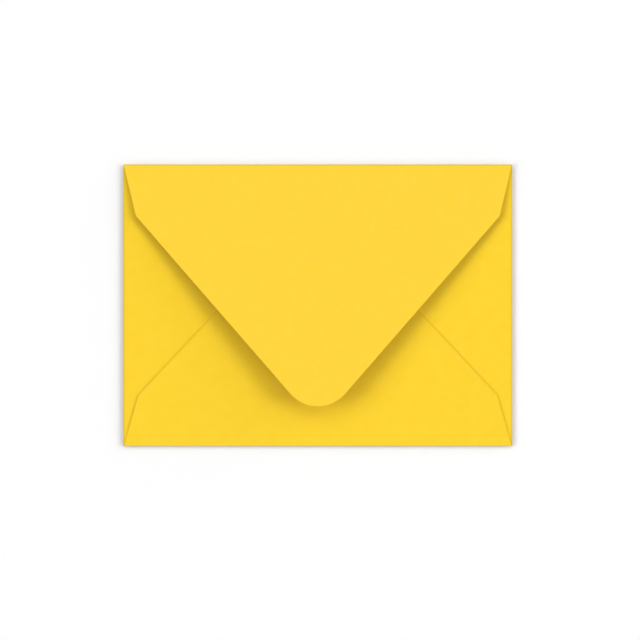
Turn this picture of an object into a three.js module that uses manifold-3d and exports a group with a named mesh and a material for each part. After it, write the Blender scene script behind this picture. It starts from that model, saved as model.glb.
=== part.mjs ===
// Paper envelope with a deep pointed seal flap, for a 5 x 7 in card. Millimetres, +Z up.
// One die-cut sheet: a front panel with a flap on each edge. The side flaps turn in first, the bottom flap
// turns up over them and is glued to them, and the seal flap turns down over all and springs a little open.
// The envelope lies on its front panel, which bellies down from sharp creases, so that the edges stand a
// little off the floor. The origin is the middle of that panel's outer face, +Y runs to the top fold and
// the flaps face up.
import * as THREE from "three";
import { mergeVertices } from "three/addons/utils/BufferGeometryUtils.js";
import Module from "manifold-3d";

// Driving dimensions
const WIDTH = 184.15; // side fold to side fold, 7 1/4 in
const HEIGHT = 133.35; // bottom fold to top fold, 5 1/4 in
const PAPER = 0.18; // thickness of the sheet
const CREASE = 0.08; // room between the front panel and the side flaps at the creases
const BELLY = 1.2; // depth by which the front panel hangs below its creases
const BELLY_REACH = 20; // from a crease to where the front panel lies level
const GLUE = 0.08; // film between the bottom flap and the side flaps
const GLUE_MARGIN = 1.5; // bare paper between the glue and the edges of the lap
const MITRE_SLIT = 0.1; // gap left where two folds meet at a corner

// Flap outlines, measured from the envelope's own edges
const SEAL_DEPTH = 114.5; // fold to tip
const SEAL_TIP_RADIUS = 16.9;
const SEAL_SHOULDER_IN = 6.25; // the outline turns inwards at the shoulder
const SEAL_SHOULDER_DOWN = 24.7;
const SEAL_LIFT = THREE.MathUtils.degToRad(5.5); // spring of the fold, from lying flat
const BOTTOM_DEPTH = 98.35;
const BOTTOM_TIP_RADIUS = 36;
const BOTTOM_SHOULDER_IN = 6.9;
const BOTTOM_SHOULDER_UP = 24.05;
const SIDE_DEPTH = 61;
const SIDE_TIP_RADIUS = 12;
const SIDE_SHOULDER_IN = 3.2;
const SIDE_SHOULDER_ACROSS = 12;
const SHOULDER_EASE = 1; // length of outline rounded off on each side of a shoulder

// Fineness of the round stretches
const BELLY_STEPS = 6;
const BEND_STEPS = 10;
const ARC_STEPS = 8;

// Outer radii of the folds: the end folds also take in the side flaps and the glue
const sideRadius = PAPER + CREASE / 2;
const endRadius = sideRadius + (PAPER + GLUE) / 2;

// Half sizes of the front panel, between the folds
const panelX = WIDTH / 2 - sideRadius;
const panelY = HEIGHT / 2 - endRadius;

const PAPER_YELLOW = new THREE.MeshStandardMaterial({ color: 0xfed63f, roughness: 0.85, metalness: 0 });

const wasm = await Module();
wasm.setup();

// Rounds a corner of an outline off with a curve that starts and ends the same length away from it.
function easedCorner(outline, corner, next, ease) {
  const start = outline.currentPoint.clone().sub(corner).setLength(ease).add(corner);
  const end = next.clone().sub(corner).setLength(ease).add(corner);
  outline.lineTo(start.x, start.y);
  outline.quadraticCurveTo(corner.x, corner.y, end.x, end.y);
}

// Outline of a flap past its bend, as points from one end of the fold to the other. x runs from the fold to
// the tip and y along the fold. Straight edges run from the fold's ends to the shoulders, and from there to
// the round tip, which they meet as tangents.
function flapOutline({ half, reach, tipRadius, shoulder }) {
  const foldEnd = new THREE.Vector2(0, half);
  const toCentre = new THREE.Vector2(reach - tipRadius, 0).sub(shoulder);
  const edgeAngle = Math.atan2(toCentre.y, toCentre.x) + Math.asin(tipRadius / toCentre.length());
  const tipAngle = edgeAngle + Math.PI / 2;
  const mirrored = (point) => new THREE.Vector2(point.x, -point.y);
  const tangent = new THREE.Vector2(Math.cos(tipAngle), Math.sin(tipAngle)).multiplyScalar(tipRadius);
  tangent.x += reach - tipRadius;

  const outline = new THREE.Shape();
  outline.moveTo(0, -half);
  easedCorner(outline, mirrored(shoulder), mirrored(tangent), SHOULDER_EASE);
  outline.absarc(reach - tipRadius, 0, tipRadius, -tipAngle, tipAngle, false);
  easedCorner(outline, shoulder, foldEnd, SHOULDER_EASE);
  outline.lineTo(foldEnd.x, foldEnd.y);
  return outline.getPoints(ARC_STEPS);
}

// One flap with its fold. The fold turns through `turn` about an axis `edge` away from the middle of the
// panel, square to `away`, and its ends run out to meet the neighbouring folds at a mitre.
function flap({ away, edge, half, radius, neighbour, turn, ...outline }) {
  const along = new THREE.Vector2(-away.y, away.x);
  const mitre = (neighbour - MITRE_SLIT) / radius;
  const points = flapOutline({ half, ...outline });

  // A point of the sheet: where it is along the fold, how far it has turned, how far it lies past the bend
  // and how deep it lies under the outer face.
  const place = (position, angle, past, depth) => {
    const bend = radius - depth;
    const overhang = bend * Math.sin(angle);
    const spread = position * (1 + (mitre * overhang) / half);
    const out = edge + overhang + past * Math.cos(angle);
    const height = radius - bend * Math.cos(angle) + past * Math.sin(angle);
    return new THREE.Vector3(away.x * out + along.x * spread, away.y * out + along.y * spread, height);
  };
  return { half, turn, points, place };
}

const endFlap = { edge: panelY, half: panelX, radius: endRadius, neighbour: sideRadius };
const sideFlap = {
  edge: panelX,
  half: panelY,
  radius: sideRadius,
  neighbour: endRadius,
  turn: Math.PI,
  reach: SIDE_DEPTH - sideRadius,
  tipRadius: SIDE_TIP_RADIUS,
  shoulder: new THREE.Vector2(SIDE_SHOULDER_ACROSS - sideRadius, HEIGHT / 2 - SIDE_SHOULDER_IN),
};

const leftFlap = flap({ ...sideFlap, away: new THREE.Vector2(-1, 0) });
const rightFlap = flap({ ...sideFlap, away: new THREE.Vector2(1, 0) });
const bottomFlap = flap({
  ...endFlap,
  away: new THREE.Vector2(0, -1),
  turn: Math.PI,
  reach: BOTTOM_DEPTH - endRadius,
  tipRadius: BOTTOM_TIP_RADIUS,
  shoulder: new THREE.Vector2(BOTTOM_SHOULDER_UP - endRadius, WIDTH / 2 - BOTTOM_SHOULDER_IN),
});
const sealFlap = flap({
  ...endFlap,
  away: new THREE.Vector2(0, 1),
  turn: Math.PI - SEAL_LIFT,
  reach: SEAL_DEPTH - endRadius,
  tipRadius: SEAL_TIP_RADIUS,
  shoulder: new THREE.Vector2(SEAL_SHOULDER_DOWN - endRadius, WIDTH / 2 - SEAL_SHOULDER_IN),
});

// A closed mesh as a solid for joining and cutting.
function solidOf(geometry) {
  geometry.deleteAttribute("normal");
  geometry.deleteAttribute("uv");
  const merged = mergeVertices(geometry);
  const vertProperties = merged.attributes.position.array;
  const triVerts = new Uint32Array(merged.index.array);
  return new wasm.Manifold(new wasm.Mesh({ numProp: 3, vertProperties, triVerts }));
}

// Grid lines across the front panel: fine from each crease to the end of the reach, with the level part
// between.
function gridLines(half) {
  const steps = Array.from({ length: BELLY_STEPS + 1 }, (_, i) => (BELLY_REACH * i) / BELLY_STEPS);
  return [...steps.map((step) => step - half), ...steps.toReversed().map((step) => half - step)];
}

// How far the front panel has fallen at a distance from a crease, from 0 to 1. It leaves the crease at a
// slant and levels out at the end of the reach.
function fall(distance) {
  const share = Math.min(distance / BELLY_REACH, 1);
  return share * (2 - share);
}

// The whole sheet, folded, with its creases at height 0. Its outer and inner faces share one set of
// triangles, and a rim closes every edge that only one triangle has.
function foldedSheet() {
  const outer = [];
  const inner = [];
  const triangles = [];
  const addPoint = (place) => {
    outer.push(place(0));
    inner.push(place(PAPER));
    return outer.length - 1;
  };

  const panelPoint = (x, y) => {
    const belly = BELLY * fall(panelX - Math.abs(x)) * fall(panelY - Math.abs(y));
    return addPoint((depth) => new THREE.Vector3(x, y, depth - belly));
  };
  const panel = gridLines(panelY).map((y) => gridLines(panelX).map((x) => panelPoint(x, y)));
  for (let j = 1; j < panel.length; j++) {
    for (let i = 1; i < panel[j].length; i++) {
      const [a, b, c, d] = [panel[j - 1][i - 1], panel[j - 1][i], panel[j][i], panel[j][i - 1]];
      triangles.push([a, b, c], [a, c, d]);
    }
  }

  const addFlap = ({ half, turn, points, place }, crease) => {
    let row = crease;
    for (let step = 1; step <= BEND_STEPS; step++) {
      const angle = (turn * step) / BEND_STEPS;
      const next = [-half, half].map((end) => addPoint((depth) => place(end, angle, 0, depth)));
      for (let i = 1; i < row.length; i++) {
        triangles.push([row[i - 1], next[0], row[i]]);
      }
      triangles.push([row.at(-1), next[0], next[1]]);
      row = next;
    }
    const flatPoint = ({ x, y }) => addPoint((depth) => place(y, turn, x, depth));
    const loop = [row[0], ...points.slice(1, -1).map(flatPoint), row[1]];
    for (const face of THREE.ShapeUtils.triangulateShape(points, [])) {
      triangles.push(face.map((i) => loop[i]));
    }
  };
  addFlap(bottomFlap, panel[0]);
  addFlap(rightFlap, panel.map((row) => row.at(-1)));
  addFlap(sealFlap, panel.at(-1).toReversed());
  addFlap(leftFlap, panel.map((row) => row[0]).toReversed());

  const count = outer.length;
  const index = [];
  const open = new Map();
  for (const [a, b, c] of triangles) {
    index.push(a, c, b, count + a, count + b, count + c);
    for (const [from, to] of [[a, b], [b, c], [c, a]]) {
      if (!open.delete(`${to} ${from}`)) open.set(`${from} ${to}`, [from, to]);
    }
  }
  for (const [from, to] of open.values()) {
    index.push(from, to, count + to, from, count + to, count + from);
  }

  const sheet = new THREE.BufferGeometry().setFromPoints([...outer, ...inner]);
  return solidOf(sheet.setIndex(index));
}

// A convex outline moved inwards by a margin, its corners going round to the left.
function inset(points, margin) {
  return points.map((point, i) => {
    const before = points.at(i - 1);
    const after = points[(i + 1) % points.length];
    const normalOf = (from, to) => new THREE.Vector2(from.y - to.y, to.x - from.x).normalize();
    const first = normalOf(before, point);
    const second = normalOf(point, after);
    const corner = first.clone().add(second).multiplyScalar(margin / (1 + first.dot(second)));
    return point.clone().add(corner);
  });
}

// The space over a folded flap's outline, less the glue margin, from the side flaps' outer face to the
// bottom flap's inner face, with a bite into both sheets.
function glueSpace({ points, turn, place }) {
  const bite = PAPER / 4;
  const flat = inset(points, GLUE_MARGIN).map((point) => place(point.y, turn, point.x, 0));
  const shape = new THREE.Shape(flat.map((point) => new THREE.Vector2(point.x, point.y)));
  const film = new THREE.ExtrudeGeometry(shape, { depth: GLUE + 2 * bite, bevelEnabled: false });
  return solidOf(film.translate(0, 0, 2 * sideRadius - bite));
}

function envelope() {
  const underBottomFlap = glueSpace(bottomFlap);
  let solid = foldedSheet();
  for (const side of [leftFlap, rightFlap]) {
    solid = solid.add(glueSpace(side).intersect(underBottomFlap));
  }

  const { vertProperties, triVerts } = solid.getMesh();
  const geometry = new THREE.BufferGeometry();
  geometry.setAttribute("position", new THREE.BufferAttribute(vertProperties, 3));
  geometry.setIndex(new THREE.BufferAttribute(triVerts, 1));
  const faceted = geometry.toNonIndexed();
  faceted.computeVertexNormals();

  const mesh = new THREE.Mesh(faceted, PAPER_YELLOW);
  mesh.name = "envelope_sheet";
  mesh.position.z = BELLY; // the front panel's level part lies on the floor
  return mesh;
}

const part = new THREE.Group();
part.add(envelope());

export default part;
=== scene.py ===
"""Yellow paper envelope with a deep pointed seal flap, lying flap side up on a white table."""

import bmesh
import bpy
import numpy as np
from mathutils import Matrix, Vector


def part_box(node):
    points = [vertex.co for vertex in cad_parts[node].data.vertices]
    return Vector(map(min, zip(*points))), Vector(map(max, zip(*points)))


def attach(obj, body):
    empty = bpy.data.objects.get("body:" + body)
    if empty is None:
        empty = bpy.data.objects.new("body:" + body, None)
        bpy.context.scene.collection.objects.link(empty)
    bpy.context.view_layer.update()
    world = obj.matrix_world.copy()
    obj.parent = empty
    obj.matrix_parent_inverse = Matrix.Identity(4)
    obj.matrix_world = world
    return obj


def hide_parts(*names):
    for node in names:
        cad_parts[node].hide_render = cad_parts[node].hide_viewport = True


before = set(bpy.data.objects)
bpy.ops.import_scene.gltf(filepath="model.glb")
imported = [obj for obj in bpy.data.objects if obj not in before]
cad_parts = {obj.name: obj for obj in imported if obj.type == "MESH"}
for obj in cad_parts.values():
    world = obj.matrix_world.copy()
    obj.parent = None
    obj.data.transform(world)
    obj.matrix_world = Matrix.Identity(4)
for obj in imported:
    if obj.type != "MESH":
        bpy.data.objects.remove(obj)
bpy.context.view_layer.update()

MM = 0.001  # sizes below are in millimetres, meshes in metres

# The sheet as it was cut, creased and folded
lowest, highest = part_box("envelope_sheet")
WIDTH = (highest[0] - lowest[0]) / MM
HEIGHT = -2 * lowest[1] / MM  # from the bottom fold, where the frame's facets touch the true size
PAPER = 0.18
SIDE_RADIUS = 0.22  # outer radius of a side crease
END_RADIUS = 0.35  # outer radius of the top and bottom creases, which take in the side flaps
MITRE_SLIT = 0.1  # left open where two creases meet at a corner
SHOULDER_EASE = 1.0  # a flap's shoulder is rounded from this far on each side of it
BELLY = 1.2  # the front panel hangs this far below its creases
BELLY_REACH = 20.0  # and is level from this far inside them
SEAL_LIFT = 5.5  # degrees that the seal flap has sprung open

# Flaps: depth from the folded edge to the tip, radius of the tip, distances of the shoulder from the folded
# edge and from the envelope's end, and the angle that the crease turns through
SEAL = {"depth": 114.5, "tip": 16.9, "shoulder": (24.7, 6.25), "turn": np.pi - np.radians(SEAL_LIFT)}
BOTTOM = {"depth": 98.35, "tip": 36.0, "shoulder": (24.05, 6.9), "turn": np.pi}
SIDE = {"depth": 61.0, "tip": 12.0, "shoulder": (12.0, 3.2), "turn": np.pi}

PANEL_X = WIDTH / 2 - SIDE_RADIUS
PANEL_Y = HEIGHT / 2 - END_RADIUS
FOLD_X = PANEL_X + np.pi / 2 * (SIDE_RADIUS - PAPER / 2)  # middles of the creases on the flat blank
FOLD_Y = PANEL_Y + np.pi / 2 * (END_RADIUS - PAPER / 2)
FAR = 99.0  # a distance past all that matter, for paper without the edge in question

# How the back of the empty pocket stands
DOME = 0.25  # swell in the middle
WAVE = 0.03
WAVES = ((21, 34, 0.4), (29, -23, 2.1), (-53, 17, 4.0), (16, 61, 1.3))  # mm to a radian in X and Y, phase
WAVE_ONSET = 3  # waves have their full height where the dome has a third of its own
CURL = 0.15  # the bottom flap's bare margin stands this far off the side flaps
CURL_REACH = 8.0  # width of that margin
CURL_RISE = 12.0  # it begins at the bottom crease and is whole this far up

# Fineness of the grids
COLUMNS_X = 97
COLUMNS_Y = 71
BEND_ROWS = 14
SHOULDER_ROWS = 12
EASE_ROWS = 7
EDGE_ROWS = 48
MERGE = 0.001  # points closer than this are one
SHARP_ANGLE = 40.0  # degrees

OUTSIDE, INSIDE, RIM = range(3)  # finishes of the sheet's faces


def smooth_step(value):
    """Rise from 0 to 1 with level ends: three squares less two cubes of the value, kept in 0 to 1."""
    t = np.clip(value, 0.0, 1.0)
    return t * t * (3 - 2 * t)


def swell(x, y):
    """Height of the pocket's back over its folded level: the dome times two parabolas, 1 in the middle and
    0 at the creases, plus a sum of long slant sine waves that fade out at the creases."""
    u = x / PANEL_X
    v = y / PANEL_Y
    dome = np.clip(1 - u * u, 0, 1) * np.clip(1 - v * v, 0, 1)
    waves = sum(np.sin(x / across + y / up + phase) for across, up, phase in WAVES)
    return DOME * dome + WAVE * waves * smooth_step(dome * WAVE_ONSET)


def edge_of_flap(half, reach, tip, shoulder):
    """Half of a flap's outline past its bend, as (out, along) rows from the end of the fold to the round
    tip, and the angle on the tip's circle where it gets there. It is a straight line to the shoulder, a
    parabola that eases the shoulder, and the straight line that touches the circle. That line leaves the
    shoulder at the bearing of the circle's centre plus the arcsine of radius over distance."""
    start = np.array([0.0, half])
    corner = np.array(shoulder)
    centre = np.array([reach - tip, 0.0])
    to_centre = centre - corner
    bearing = np.arctan2(to_centre[1], to_centre[0]) + np.arcsin(tip / np.hypot(*to_centre))
    touch_angle = bearing + np.pi / 2
    touch = centre + tip * np.array([np.cos(touch_angle), np.sin(touch_angle)])
    before = corner + SHOULDER_EASE * (start - corner) / np.hypot(*(start - corner))
    after = corner + SHOULDER_EASE * (touch - corner) / np.hypot(*(touch - corner))
    t = np.linspace(0, 1, SHOULDER_ROWS)[:, None]
    first = start + (before - start) * t
    t = np.linspace(0, 1, EASE_ROWS)[1:, None]
    eased = before * (1 - t) ** 2 + 2 * corner * t * (1 - t) + after * t**2
    t = np.linspace(0, 1, EDGE_ROWS)[1:, None]
    last = after + (touch - after) * t
    return np.concatenate([first, eased, last]), touch_angle


def folded_flap(away, edge, half, radius, neighbour, columns, flap):
    """A flap with its bend: outer and inner faces as grids of points, flat positions on the blank, and
    distances to the cut edge. The bend turns a row of the sheet about a line `edge` from the panel's
    middle: out is the overhang, radius times sine, up is the outer radius less radius times cosine, and the
    row widens with the overhang so that two bends meet at a mitre. Past the bend the sheet goes straight on
    along the last turn. There each row spans the outline from side to side and bulges towards the tip by
    the circle's sagitta times the square of its share of the way, so the last row is the tip's own arc."""
    turn = flap["turn"]
    tip = flap["tip"]
    reach = flap["depth"] - radius
    down, inwards = flap["shoulder"]
    outline, touch_angle = edge_of_flap(half, reach, tip, (down - radius, half + neighbour - inwards))
    t = np.linspace(-1, 1, columns)[None, :]

    angle = np.linspace(0, turn, BEND_ROWS + 1)[:, None]
    share = (outline[:, :1] / outline[-1, 0]) ** 2
    sagitta = tip * (np.sqrt(1 - (t * np.sin(touch_angle)) ** 2) - np.cos(touch_angle))
    past = np.concatenate([0 * angle + 0 * t, (outline[:, :1] + share * sagitta)[1:]])
    along = np.concatenate([half * t + 0 * angle, (outline[:, 1:] * t)[1:]])
    angle = np.concatenate([angle, np.full((len(outline) - 1, 1), turn)]) + 0 * t

    faces = []
    for bend in (radius, radius - PAPER):
        overhang = bend * np.sin(angle)
        spread = along * (1 + (neighbour - MITRE_SLIT) / radius * overhang / half)
        out = edge + overhang + past * np.cos(angle)
        up = radius - bend * np.cos(angle) + past * np.sin(angle)
        x = away[0] * out - away[1] * spread
        y = away[1] * out + away[0] * spread
        faces.append(np.stack([x, y, up], axis=-1))

    flat_out = edge + (radius - PAPER / 2) * angle + past
    flat = [away[0] * flat_out - away[1] * along, away[1] * flat_out + away[0] * along]

    to_edge = np.full_like(along, FAR)
    for begin, close in (outline[:2], outline[-2:]):
        slope = close - begin
        outwards = np.array([-slope[1], slope[0]]) / np.hypot(*slope)
        to_line = (close[0] - past) * outwards[0] + (close[1] - np.abs(along)) * outwards[1]
        to_edge = np.minimum(to_edge, to_line)
    at_tip = np.abs(np.arctan2(along, past - reach + tip)) < touch_angle
    to_edge = np.where(at_tip, tip - np.hypot(past - reach + tip, along), to_edge)
    return faces, np.stack(flat, axis=-1), to_edge


def front_panel():
    """The panel between the creases: two grids a paper's thickness apart, flat positions, and no cut edge.
    It hangs below its creases by the belly times two falls, one for the distance to the nearest side crease
    and one for the nearest end crease. A fall is the share of the reach times two less that share, so the
    panel leaves its crease at a slant and lies level past the reach."""
    across = np.linspace(-PANEL_X, PANEL_X, COLUMNS_X)
    x, y = np.meshgrid(across, np.linspace(-PANEL_Y, PANEL_Y, COLUMNS_Y))
    share_x = np.clip((PANEL_X - np.abs(x)) / BELLY_REACH, 0, 1)
    share_y = np.clip((PANEL_Y - np.abs(y)) / BELLY_REACH, 0, 1)
    fall = share_x * (2 - share_x) * share_y * (2 - share_y)
    faces = [np.stack([x, y, depth - BELLY * fall], axis=-1) for depth in (0.0, PAPER)]
    return faces, faces[0][..., :2], np.full_like(x, FAR)


def folded_blank():
    """The panel and the flaps by name, each as its faces, flat positions and distances to the cut edge. The
    pocket's back swells past its bends, and the bottom flap's margin curls up by the square of its nearness
    to the cut edge, from nothing at the crease."""
    end = {"edge": PANEL_Y, "half": PANEL_X, "radius": END_RADIUS, "neighbour": SIDE_RADIUS}
    side = {"edge": PANEL_X, "half": PANEL_Y, "radius": SIDE_RADIUS, "neighbour": END_RADIUS}
    blank = {
        "front": front_panel(),
        "bottom": folded_flap((0, -1), columns=COLUMNS_X, flap=BOTTOM, **end),
        "right": folded_flap((1, 0), columns=COLUMNS_Y, flap=SIDE, **side),
        "left": folded_flap((-1, 0), columns=COLUMNS_Y, flap=SIDE, **side),
        "seal": folded_flap((0, 1), columns=COLUMNS_X, flap=SEAL, **end),
    }
    for name in ("bottom", "right", "left"):
        faces, _, to_edge = blank[name]
        x, y, z = np.moveaxis(faces[0], -1, 0)
        lift = smooth_step((z - SIDE_RADIUS) / SIDE_RADIUS) * swell(x, y)
        if name == "bottom":
            nearness = np.clip(1 - to_edge / CURL_REACH, 0, 1)
            lift = lift + CURL * nearness**2 * smooth_step((y + PANEL_Y) / CURL_RISE)
        for face in faces:
            face[..., 2] += lift
    return blank


def cut_edge(grid):
    """The rim of a flap's grid: down its first column, along its last row and back up its last column."""
    return np.concatenate([grid[:-1, 0], grid[-1, :-1], grid[::-1, -1]])


def grid_quads(rows, columns, first):
    """Corner numbers of a grid's quads, each going round the same way."""
    n = np.arange(rows * columns).reshape(rows, columns) + first
    return np.stack([n[:-1, :-1], n[1:, :-1], n[1:, 1:], n[:-1, 1:]], axis=-1).reshape(-1, 4)


def folded_sheet():
    """The folded blank as one closed mesh: an outer and an inner grid for the panel and for each flap, and
    a rim along each flap's cut edge, joined where they meet. A grid that faces the wrong way is turned
    over. Each point is marked with its flat position and its distances to the glued seam, which is the
    bottom flap's cut edge, and to the gummed edge, which is the seal flap's."""
    grids = []
    for name, (faces, flat, to_edge) in folded_blank().items():
        is_flap = name != "front"
        no_edge = np.full_like(to_edge, FAR)
        to_seam = to_edge if name == "bottom" else no_edge
        to_gummed_edge = to_edge if name == "seal" else no_edge
        marks = np.concatenate([flat, np.stack([to_seam, to_gummed_edge], axis=-1)], axis=-1)
        grids.append((faces[0], marks, OUTSIDE, is_flap))
        grids.append((faces[1], marks, INSIDE, not is_flap))
        if is_flap:
            rim = np.stack([cut_edge(face) for face in faces])
            grids.append((rim, np.stack([cut_edge(marks)] * 2), RIM, True))

    surfaces, marks, finishes, turned = zip(*grids)
    sizes = [surface.shape[:2] for surface in surfaces]
    starts = np.cumsum([0] + [rows * columns for rows, columns in sizes])
    quads = [grid_quads(*size, start) for size, start in zip(sizes, starts)]
    quads = [quad[:, ::-1] if over else quad for quad, over in zip(quads, turned)]
    finish = np.repeat(finishes, [len(quad) for quad in quads])
    points = np.concatenate([surface.reshape(-1, 3) for surface in surfaces]) + (0, 0, BELLY)
    marks = np.concatenate([mark.reshape(-1, 4) for mark in marks])
    marks = marks.astype(np.float32) * np.float32(MM)

    mesh = bpy.data.meshes.new("envelope_paper")
    mesh.from_pydata(points * MM, [], np.concatenate(quads))
    corners = np.empty(len(mesh.loops), dtype=np.int32)
    mesh.loops.foreach_get("vertex_index", corners)
    blank = mesh.uv_layers.new(name="blank")
    blank.data.foreach_set("uv", marks[corners, :2].reshape(-1))
    for column, name in ((2, "to_seam"), (3, "to_gummed_edge")):
        distance = mesh.attributes.new(name, "FLOAT", "POINT")
        distance.data.foreach_set("value", np.ascontiguousarray(marks[:, column]))
    mesh.polygons.foreach_set("material_index", finish.astype(np.int32))
    mesh.polygons.foreach_set("use_smooth", np.ones(len(mesh.polygons), dtype=bool))

    shell = bmesh.new()
    shell.from_mesh(mesh)
    bmesh.ops.remove_doubles(shell, verts=shell.verts, dist=MERGE * MM)
    shell.to_mesh(mesh)
    shell.free()
    mesh.set_sharp_from_angle(angle=np.radians(SHARP_ANGLE))
    return mesh


def linear(hex_colour):
    """A colour written as sRGB hex, as linear RGBA."""
    srgb = np.array([int(hex_colour[i : i + 2], 16) for i in (1, 3, 5)]) / 255
    light = np.where(srgb <= 0.04045, srgb / 12.92, ((srgb + 0.055) / 1.055) ** 2.4)
    return (*light.tolist(), 1.0)


def add_node(tree, kind, settings=None, values=None, links=None):
    """Adds a node with its settings, socket values and incoming links."""
    node = tree.nodes.new(kind)
    for name, value in (settings or {}).items():
        setattr(node, name, value)
    for socket, value in (values or {}).items():
        node.inputs[socket].default_value = value
    for socket, source in (links or {}).items():
        tree.links.new(source, node.inputs[socket])
    return node


# The paper's colours, pale and deep, and the shades that cover them in places
BODY_SHADES = ("#fed52c", "#fdd226")
FLAP_SHADES = ("#fed43a", "#fdd233")  # a shade paler on the seal flap
INSIDE_SHADES = ("#fad024", "#f8cc1f")  # a shade deeper than the outside
CUT_SHADES = ("#ffdd63", "#fdd84f")
FIBRE_SHADE = "#fedb48"  # stray fibres took the dye less well
# painted shade: the colour of the dark lines painted along the side and top folds and along the seam
PAINTED_SHADE_COLOUR = "#cbaa1e"
GUM_SHADE = "#b8900f"

# The paper's patterns
CLOUD_SIZE = 6.0
CLOUD_RANGE = (0.3, 0.7)  # noise levels that give the deep and the pale shade
FELT_SIZE = 0.6
FIBRE_LENGTH = 4.0
FIBRE_WIDTH = 0.5  # real ones are 0.03 mm wide, so they are drawn coarser to show
FIBRE_TURNS = (0.3, 1.35, 2.4)  # radians
FIBRE_RANGE = (0.62, 0.82)  # noise levels between which a fibre comes up
FIBRE_COVER = 0.5  # share of the colour below that is hidden, as for the covers that follow
FIBRE_HEIGHT = 0.6  # against the felt marks'
RELIEF = 0.06  # height of the felt marks
RELIEF_STRENGTH = 0.3
ROUGHNESS = (0.78, 0.92)  # from low to high on the felt marks

# Painted shade along the folds and the seam, the seal flap's paler shade, and the gum
PALER_FLAP_RAMP = (0.5, 3.0)  # the seal flap's paler shade begins this far past the top crease and is whole this far past it
FOLD_SHADE_REACH = 1.1  # how far the painted shade reaches from a fold, each way
FOLD_SHADE_COVER = 0.5
SEAM_SHADE_REACH = 0.4  # how far the painted shadow line along the seam reaches on the bottom flap
SEAM_SHADE_COVER = 0.7
GUM_REACH = 18.0  # from the cut edge, less the waver
GUM_WAVER = 4.0
GUM_BLUR = 0.5
GUM_ROUGHNESS = 0.32

FACTOR, FIRST, SECOND, MIXED = 0, 6, 7, 2  # a Mix node's sockets for colours


def pulp_patterns(tree, blank):
    """Three patterns on the flat blank: soft clouds where the pulp settled thicker, stray fibres that lie
    in three directions, and the fine marks of the felts."""
    cloud = add_node(
        tree,
        "ShaderNodeTexNoise",
        values={"Scale": 1 / (CLOUD_SIZE * MM), "Detail": 3.0},
        links={"Vector": blank},
    )
    cloud = add_node(
        tree,
        "ShaderNodeMapRange",
        values={"From Min": CLOUD_RANGE[0], "From Max": CLOUD_RANGE[1]},
        links={"Value": cloud.outputs["Fac"]},
    )
    fibres = None
    for turn in FIBRE_TURNS:
        # Each direction reads the noise somewhere else
        laid = add_node(
            tree,
            "ShaderNodeMapping",
            {"vector_type": "TEXTURE"},
            {
                "Location": (turn, 0, turn),
                "Rotation": (0, 0, turn),
                "Scale": (FIBRE_LENGTH * MM, FIBRE_WIDTH * MM, 1.0),
            },
            {"Vector": blank},
        )
        streak = add_node(
            tree,
            "ShaderNodeTexNoise",
            values={"Scale": 1.0, "Detail": 1.0},
            links={"Vector": laid.outputs["Vector"]},
        ).outputs["Fac"]
        if fibres is not None:
            streak = add_node(
                tree, "ShaderNodeMath", {"operation": "MAXIMUM"}, links={0: fibres, 1: streak}
            ).outputs["Value"]
        fibres = streak
    fibres = add_node(
        tree,
        "ShaderNodeMapRange",
        values={"From Min": FIBRE_RANGE[0], "From Max": FIBRE_RANGE[1], "To Max": FIBRE_COVER},
        links={"Value": fibres},
    )
    felt = add_node(
        tree,
        "ShaderNodeTexNoise",
        values={"Scale": 1 / (FELT_SIZE * MM), "Detail": 4.0},
        links={"Vector": blank},
    )
    return cloud.outputs["Result"], fibres.outputs["Result"], felt.outputs["Fac"]


def painted_fold_and_seam_shade(tree, place):
    """Where painted shade deepens the colour, as a share: painted shade along the side folds and the top
    fold, and a painted shadow line along the bottom flap's cut edge, where it lies over the side flaps."""
    # A painted shadow line along the bottom flap's cut edge
    seam = add_node(tree, "ShaderNodeAttribute", {"attribute_name": "to_seam"})
    painted_shade = add_node(
        tree,
        "ShaderNodeMapRange",
        {"interpolation_type": "SMOOTHSTEP"},
        {"From Min": 0.0, "From Max": SEAM_SHADE_REACH * MM, "To Min": SEAM_SHADE_COVER, "To Max": 0.0},
        {"Value": seam.outputs["Fac"]},
    ).outputs["Result"]
    # Painted shade along the side folds and the top fold
    # A ping-pong peaks at a fold and at its mirror image. For the top fold, a shift moves the mirror image
    # off the sheet
    for axis, shift, line in (("X", 0.0, FOLD_X), ("Y", FAR, FOLD_Y)):
        peak = (line + shift) * MM
        moved = add_node(tree, "ShaderNodeMath", {"operation": "ADD"}, {1: shift * MM}, {0: place[axis]})
        inwards = add_node(
            tree, "ShaderNodeMath", {"operation": "PINGPONG"}, {1: peak}, {0: moved.outputs["Value"]}
        )
        near = add_node(
            tree,
            "ShaderNodeMapRange",
            {"interpolation_type": "SMOOTHSTEP"},
            {"From Min": peak - FOLD_SHADE_REACH * MM, "From Max": peak, "To Max": FOLD_SHADE_COVER},
            {"Value": inwards.outputs["Value"]},
        )
        painted_shade = add_node(
            tree,
            "ShaderNodeMath",
            {"operation": "MAXIMUM"},
            links={0: painted_shade, 1: near.outputs["Result"]},
        ).outputs["Value"]
    return painted_shade


def gum_film(tree, cloud):
    """Where dried gum covers the sheet, as a share: from the seal flap's cut edge to a wavering line."""
    edge = add_node(tree, "ShaderNodeAttribute", {"attribute_name": "to_gummed_edge"})
    wavering = add_node(
        tree,
        "ShaderNodeMath",
        {"operation": "MULTIPLY_ADD"},
        {1: GUM_WAVER * MM},
        {0: cloud, 2: edge.outputs["Fac"]},
    )
    film = add_node(
        tree,
        "ShaderNodeMapRange",
        values={
            "From Min": (GUM_REACH - GUM_BLUR) * MM,
            "From Max": (GUM_REACH + GUM_BLUR) * MM,
            "To Min": 1.0,
            "To Max": 0.0,
        },
        links={"Value": wavering.outputs["Value"]},
    )
    return film.outputs["Result"]


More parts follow.
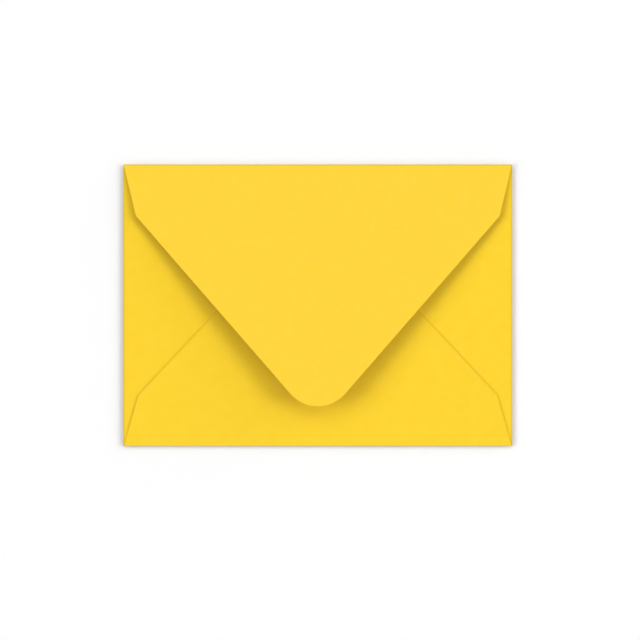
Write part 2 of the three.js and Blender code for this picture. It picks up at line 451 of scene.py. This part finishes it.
def dyed_paper(name, shades, paler_flap_shades=None, gummed=False):
    """Uncoated wove paper, dyed in the pulp and pressed between felts. It gives the eye a flat, even colour
    with hardly any shine, soft clouds and a few stray fibres, and it carries painted shade along the side
    and top folds and a painted shadow line along the seam. Where it is gummed, the dried film darkens it as
    water would, and shines."""
    material = bpy.data.materials.new(name)
    material.use_nodes = True
    tree = material.node_tree
    tree.nodes.clear()
    blank = add_node(tree, "ShaderNodeUVMap", {"uv_map": "blank"}).outputs["UV"]
    place = add_node(tree, "ShaderNodeSeparateXYZ", links={"Vector": blank}).outputs
    cloud, fibres, felt = pulp_patterns(tree, blank)

    colour = add_node(
        tree,
        "ShaderNodeMix",
        {"data_type": "RGBA"},
        {FIRST: linear(shades[1]), SECOND: linear(shades[0])},
        {FACTOR: cloud},
    ).outputs[MIXED]
    if paler_flap_shades:
        # On the blank, the seal flap lies past the top crease
        flap = add_node(
            tree,
            "ShaderNodeMapRange",
            values={"From Min": (PANEL_Y + PALER_FLAP_RAMP[0]) * MM, "From Max": (PANEL_Y + PALER_FLAP_RAMP[1]) * MM},
            links={"Value": place["Y"]},
        )
        tint = add_node(
            tree,
            "ShaderNodeMix",
            {"data_type": "RGBA"},
            {FIRST: linear(paler_flap_shades[1]), SECOND: linear(paler_flap_shades[0])},
            {FACTOR: cloud},
        )
        colour = add_node(
            tree,
            "ShaderNodeMix",
            {"data_type": "RGBA"},
            links={FACTOR: flap.outputs["Result"], FIRST: colour, SECOND: tint.outputs[MIXED]},
        ).outputs[MIXED]
    rough = add_node(
        tree,
        "ShaderNodeMapRange",
        values={"To Min": ROUGHNESS[0], "To Max": ROUGHNESS[1]},
        links={"Value": felt},
    ).outputs["Result"]

    # Covers: stray fibres, then the painted shade along the folds and the seam, then the gum
    covers = [(FIBRE_SHADE, fibres), (PAINTED_SHADE_COLOUR, painted_fold_and_seam_shade(tree, place))]
    if gummed:
        gum = gum_film(tree, cloud)
        covers.append((GUM_SHADE, gum))
        rough = add_node(
            tree,
            "ShaderNodeMapRange",
            values={"To Max": GUM_ROUGHNESS},
            links={"Value": gum, "To Min": rough},
        ).outputs["Result"]
    for shade, cover in covers:
        colour = add_node(
            tree,
            "ShaderNodeMix",
            {"data_type": "RGBA"},
            {SECOND: linear(shade)},
            {FACTOR: cover, FIRST: colour},
        ).outputs[MIXED]

    height = add_node(
        tree, "ShaderNodeMath", {"operation": "MULTIPLY_ADD"}, {1: FIBRE_HEIGHT}, {0: fibres, 2: felt}
    )
    bump = add_node(
        tree,
        "ShaderNodeBump",
        values={"Strength": RELIEF_STRENGTH, "Distance": RELIEF * MM},
        links={"Height": height.outputs["Value"]},
    )
    shader = add_node(
        tree,
        "ShaderNodeBsdfPrincipled",
        values={"IOR": 1.5, "Specular IOR Level": 0.3},
        links={"Base Color": colour, "Roughness": rough, "Normal": bump.outputs["Normal"]},
    )
    add_node(tree, "ShaderNodeOutputMaterial", links={"Surface": shader.outputs["BSDF"]})
    return material


papers = {
    OUTSIDE: dyed_paper("dyed_wove_paper", BODY_SHADES, paler_flap_shades=FLAP_SHADES),
    INSIDE: dyed_paper("dyed_wove_paper_inside", INSIDE_SHADES, gummed=True),
    RIM: dyed_paper("dyed_wove_paper_cut_edge", CUT_SHADES),
}
sheet = bpy.data.objects.new("envelope_paper", folded_sheet())
bpy.context.scene.collection.objects.link(sheet)
for finish in (OUTSIDE, INSIDE, RIM):
    sheet.data.materials.append(papers[finish])

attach(sheet, "root")
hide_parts("envelope_sheet")


def white_when_seen(tree, otherwise):
    """A brightness that is 1 where the camera sees it, straight or mirrored, and `otherwise` elsewhere."""
    ray = add_node(tree, "ShaderNodeLightPath").outputs
    seen = ray["Is Camera Ray"]
    for kind in ("Is Glossy Ray", "Is Transmission Ray"):
        both = add_node(tree, "ShaderNodeMath", {"operation": "MAXIMUM"}, links={0: seen, 1: ray[kind]})
        seen = both.outputs["Value"]
    level = add_node(
        tree, "ShaderNodeMapRange", values={"To Min": otherwise, "To Max": 1.0}, links={"Value": seen}
    )
    return level.outputs["Result"]


# White table top, wide enough to fill low views. It throws back part of the light, so shadows stay deep
TABLE = 3000.0  # half its width
TABLE_BOUNCE = 0.4
CORNERS = np.array([(-1, -1, 0), (1, -1, 0), (1, 1, 0), (-1, 1, 0)])
floor_mesh = bpy.data.meshes.new("table_top")
floor_mesh.from_pydata(CORNERS * TABLE * MM, [], [(0, 1, 2, 3)])
floor = bpy.data.objects.new("table_top", floor_mesh)
bpy.context.scene.collection.objects.link(floor)
white = bpy.data.materials.new("white_table")
white.use_nodes = True
white.node_tree.nodes.clear()
matt = add_node(
    white.node_tree,
    "ShaderNodeBsdfDiffuse",
    links={"Color": white_when_seen(white.node_tree, TABLE_BOUNCE)},
)
add_node(white.node_tree, "ShaderNodeOutputMaterial", links={"Surface": matt.outputs["BSDF"]})
floor_mesh.materials.append(white)

# Light: a ring of large soft boxes and a fill from the whole room. Each share is what a level surface gets.
# The shares add up to 1, so a colour renders about as it is written. Bearings run from +X towards +Y, and
# bearings, heights and spans are in degrees
SOFT_BOXES = {
    "right_box": {"bearing": 0, "height": 34, "span": 24, "share": 0.195},
    "back_right_box": {"bearing": 38, "height": 44, "span": 30, "share": 0.105},
    "back_box": {"bearing": 90, "height": 54, "span": 34, "share": 0.105},
    "back_left_box": {"bearing": 135, "height": 41, "span": 34, "share": 0.082},
    "left_box": {"bearing": 180, "height": 37, "span": 30, "share": 0.236},
    "front_left_box": {"bearing": 210, "height": 22, "span": 24, "share": 0.049},
    "low_front_box": {"bearing": 330, "height": 18, "span": 28, "share": 0.052},
    "low_back_box": {"bearing": 30, "height": 12, "span": 24, "share": 0.041},
}
ROOM_FILL = 0.135

for name, box in SOFT_BOXES.items():
    lamp = bpy.data.lights.new(name, "SUN")
    lamp.angle = np.radians(box["span"])
    lamp.energy = box["share"] * np.pi / np.sin(np.radians(box["height"]))
    soft_box = bpy.data.objects.new(name, lamp)
    soft_box.rotation_euler = (0, np.radians(90 - box["height"]), np.radians(box["bearing"]))
    bpy.context.scene.collection.objects.link(soft_box)

# The room is white where it is seen or mirrored
world = bpy.data.worlds.new("white_room")
bpy.context.scene.world = world
world.use_nodes = True
room = world.node_tree
room.nodes.clear()
background = add_node(
    room,
    "ShaderNodeBackground",
    values={"Color": (1, 1, 1, 1)},
    links={"Strength": white_when_seen(room, ROOM_FILL)},
)
add_node(room, "ShaderNodeOutputWorld", links={"Surface": background.outputs["Background"]})

# Camera: straight down from this point, with a long lens
CAMERA = (1.03, -6.97, 843.4)
camera_data = bpy.data.cameras.new("camera")
camera_data.lens = 100
camera_data.sensor_width = 36
camera = bpy.data.objects.new("camera", camera_data)
camera.location = np.array(CAMERA) * MM
bpy.context.scene.collection.objects.link(camera)
bpy.context.scene.camera = camera

bpy.context.scene.view_settings.view_transform = "Standard"
